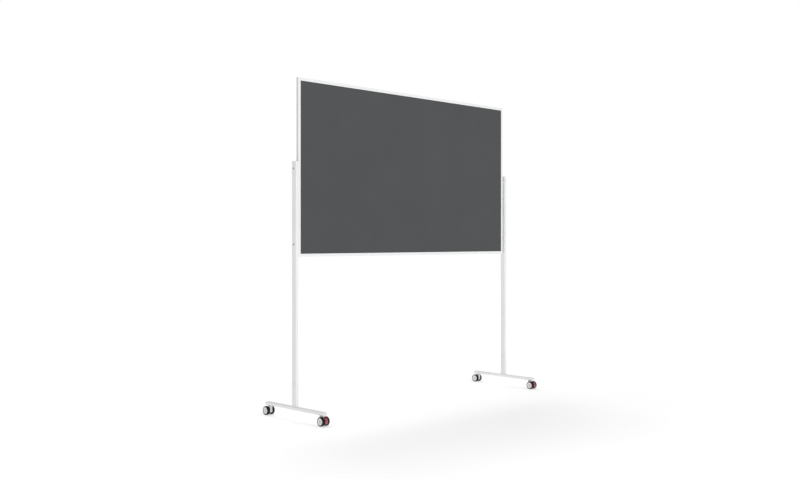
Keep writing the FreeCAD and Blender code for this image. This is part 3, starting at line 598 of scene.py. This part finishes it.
def lay_over(material, mask, colour):
    """Lay a colour over the one that a material already has, where a mask says."""
    tree = material.node_tree
    base = tree.nodes["Principled BSDF"].inputs["Base Color"]
    below = base.links[0].from_socket
    tree.links.new(mix_colour(tree, mask, below, colour), base)


def hub_material():
    material = moulded_material(
        "hub_grey",
        light=(0.82, 0.824, 0.82),
        dark=(0.77, 0.774, 0.77),
        roughness=0.4,
        grain_scale=2200.0,
        grain_depth=0.00004,
    )
    tree = material.node_tree
    on_cap = map_range(tree, from_axle(tree), (HUB_CAP_RADIUS, HUB_CAP_RADIUS + HUB_CAP_BLUR), (1.0, 0.0))
    lay_over(material, on_cap, HUB_CAP_GREY)
    return material


def tyre_material():
    material = moulded_material(
        "tyre_black",
        light=(0.006, 0.006, 0.0065),
        dark=(0.011, 0.011, 0.012),
        roughness=0.62,
        grain_scale=1800.0,
        grain_depth=0.00006,
        specular=0.2,
    )
    tree = material.node_tree
    dust = noise_node(tree, object_place(tree), DUST_SCALE, detail=4.0, roughness=0.7)
    on_tread = map_range(tree, from_axle(tree), DUST_RADII)
    dusty = math_node(tree, "MULTIPLY", on_tread, map_range(tree, dust, DUST_WHERE, (0.0, DUST_MOST)))
    lay_over(material, dusty, DUST_GREY)
    return material


def spun_tyre(node, name, material):
    """A tyre spun from its section: round shoulders, a tread that falls to them, and a mould line."""
    low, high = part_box(node)
    middle = (low + high) / 2
    radius = (high.z - low.z) / 2
    half_width = (high.x - low.x) / 2
    half_line = MOULD_LINE_WIDTH / 2
    tread = radius - MOULD_LINE_HEIGHT
    right_half = ((half_width, HUB_RADIUS), (half_width, tread - TREAD_FALL), (half_line, tread))
    corners = [*right_half, (0, radius), *((-across, out) for across, out in reversed(right_half))]

    tyre = bmesh.new()
    section = [tyre.verts.new((middle.x + across, middle.y, middle.z + out)) for across, out in corners]
    bmesh.ops.contextual_create(tyre, geom=section)
    shoulders = [vertex for vertex, (_, out) in zip(section, corners) if out == tread - TREAD_FALL]
    bmesh.ops.bevel(
        tyre,
        geom=shoulders,
        offset=SHOULDER_RADIUS,
        offset_type="OFFSET",
        segments=SHOULDER_STEPS,
        profile=0.5,
        affect="VERTICES",
        clamp_overlap=True,
        material=-1,
    )
    bmesh.ops.delete(tyre, geom=tyre.faces[:], context="FACES_ONLY")
    bmesh.ops.spin(
        tyre,
        geom=tyre.verts[:] + tyre.edges[:],
        cent=middle,
        axis=(1, 0, 0),
        angle=math.tau,
        steps=TYRE_STEPS,
        use_merge=True,
    )
    bmesh.ops.remove_doubles(tyre, verts=tyre.verts, dist=MERGE_WITHIN)
    bmesh.ops.recalc_face_normals(tyre, faces=tyre.faces)
    return finish_mesh(tyre, name, material, smooth_angle=40)


HUB_GREY = hub_material()
TYRE_BLACK = tyre_material()
for spot in ("front_left", "front_right", "rear_left", "rear_right"):
    body = eased_copy(
        f"castor_body_{spot}", f"castor_moulding_{spot}", BODY_EDGE_EASING, CASTOR_GREY, steps=3
    )
    stand_for(body, f"castor_body_{spot}", f"castor_{spot}")
    dress([f"castor_axle_{spot}"], PLATED_STEEL)
    for wheel in (f"{spot}_outer", f"{spot}_inner"):
        hub = eased_copy(f"wheel_hub_{wheel}", f"hub_{wheel}", HUB_EDGE_EASING, HUB_GREY)
        stand_for(hub, f"wheel_hub_{wheel}", f"wheel_{wheel}")
        tyre = spun_tyre(f"wheel_tyre_{wheel}", f"tyre_{wheel}", TYRE_BLACK)
        stand_for(tyre, f"wheel_tyre_{wheel}", f"wheel_{wheel}")
for side in ("left", "right"):
    pedal = eased_copy(f"brake_pedal_front_{side}", f"pedal_{side}", PEDAL_EDGE_EASING, PEDAL_RED, steps=3)
    stand_for(pedal, f"brake_pedal_front_{side}", f"pedal_front_{side}")


# Studio: a pale floor that glows faintly, with painted shade just before the board, where the glow is
# weakest, and glowing more further off so that it runs out into white; a wide soft light in front, and one
# above and behind that lays the board's faint shadow on the floor. The sky is white to the camera, but
# weaker where it lights the board.
FLOOR_REACH = 40.0
FLOOR_STEPS = 96
FLOOR_WHITE = (0.9, 0.9, 0.9, 1)
FLOOR_PAINTED_SHADE_PLACE = (0.5, -1.3, 0.0)
FLOOR_PAINTED_SHADE_RADII = (0.6, 6.0)
FLOOR_GLOW = (0.3, 0.48)
SKY_WHITE = (1, 1, 1, 1)
SKY_LIGHT = 0.6
BOARD_MIDDLE = (0, 0, 1.4)

floor_material, floor_tree, floor_shader = new_material("studio_floor", roughness=0.9, specular=0.1)
floor_shader.inputs["Base Color"].default_value = FLOOR_WHITE
floor_shader.inputs["Emission Strength"].default_value = 1.0
# Painted shade: the floor's glow grows with distance from a place just before the board.
reach = add_node(floor_tree, "ShaderNodeVectorMath", operation="DISTANCE")
floor_tree.links.new(object_place(floor_tree), reach.inputs[0])
reach.inputs[1].default_value = FLOOR_PAINTED_SHADE_PLACE
glow = map_range(floor_tree, reach.outputs["Value"], FLOOR_PAINTED_SHADE_RADII, FLOOR_GLOW)
floor_tree.links.new(glow, floor_shader.inputs["Emission Color"])
floor_shape = bmesh.new()
bmesh.ops.create_circle(floor_shape, cap_ends=True, segments=FLOOR_STEPS, radius=FLOOR_REACH)
floor = finish_mesh(floor_shape, "studio_floor", floor_material)

world = bpy.data.worlds.new("studio_world")
bpy.context.scene.world = world
world.use_nodes = True
sky = world.node_tree
sky_light = sky.nodes["Background"]
sky_seen = add_node(sky, "ShaderNodeBackground")
for background, strength in ((sky_light, SKY_LIGHT), (sky_seen, 1.0)):
    background.inputs["Color"].default_value = SKY_WHITE
    background.inputs["Strength"].default_value = strength
what_looks = add_node(sky, "ShaderNodeLightPath")
either = add_node(sky, "ShaderNodeMixShader")
sky.links.new(what_looks.outputs["Is Camera Ray"], either.inputs["Fac"])
sky.links.new(sky_light.outputs["Background"], either.inputs[1])
sky.links.new(sky_seen.outputs["Background"], either.inputs[2])
sky.links.new(either.outputs["Shader"], sky.nodes["World Output"].inputs["Surface"])


def soft_light(name, place, aim, width, height, power):
    light_data = bpy.data.lights.new(name, "AREA")
    light_data.shape = "RECTANGLE"
    light_data.size = width
    light_data.size_y = height
    light_data.energy = power
    light = bpy.data.objects.new(name, light_data)
    light.location = place
    light.rotation_euler = (Vector(aim) - Vector(place)).to_track_quat("-Z", "Y").to_euler()
    bpy.context.collection.objects.link(light)


soft_light("key_light", place=(-0.2, -5.5, 1.4), aim=(0, 0, 1.0), width=3.0, height=3.0, power=77.0)
soft_light("back_light", place=(4.4, 7.0, 11.4), aim=BOARD_MIDDLE, width=5.6, height=3.0, power=300.0)

bpy.context.scene.view_settings.view_transform = "Standard"
